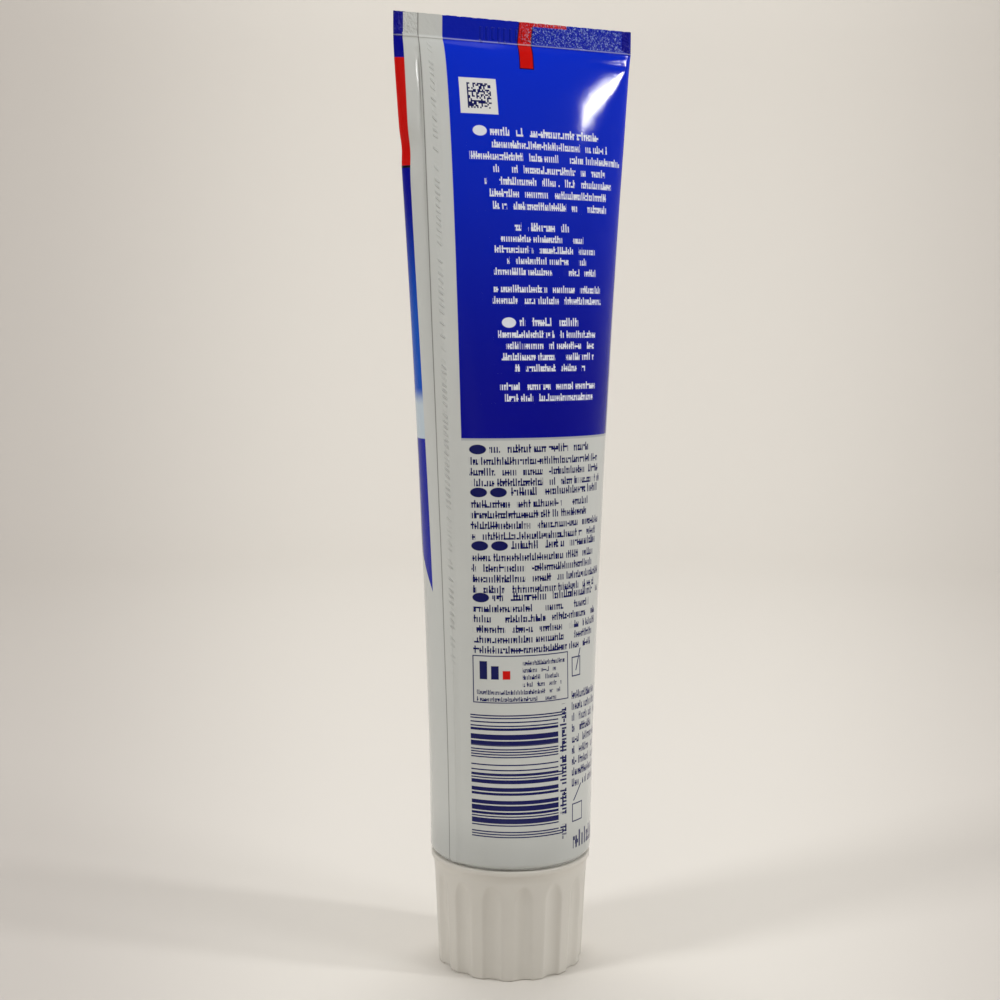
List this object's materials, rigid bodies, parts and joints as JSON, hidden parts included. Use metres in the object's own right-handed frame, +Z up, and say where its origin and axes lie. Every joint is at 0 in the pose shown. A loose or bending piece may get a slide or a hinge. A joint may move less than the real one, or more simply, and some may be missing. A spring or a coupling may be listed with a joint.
{
  "type": "toothpaste tube",
  "caption": "Laminate toothpaste tube with a flat heat-sealed end and a side seam, standing on its fluted screw cap, which pulls away from the nozzle.",
  "frame": {"origin": "middle of the cap's standing face", "axes": "+Z up the tube from the cap to the crimp, X along the flat crimp, -Y out of the back panel with the side seam near its -X fold"},
  "size_m": [0.055, 0.035, 0.201],
  "materials": {
    "cap_plastic": "semi-gloss",
    "shoulder_plastic": "satin",
    "printed_laminate": "glossy print",
    "paste": "wet"
  },
  "bodies": {
    "cap": {"screw_cap": "cap_plastic"},
    "tube": {"shoulder_nozzle": "shoulder_plastic", "tube_sleeve": "printed_laminate", "toothpaste": "paste"}
  },
  "joints": [
    {"name": "cap_release", "type": "slide", "parent": "cap", "child": "tube", "axis": [0, 0, 1], "range_m": [0, 0.03]}
  ]
}
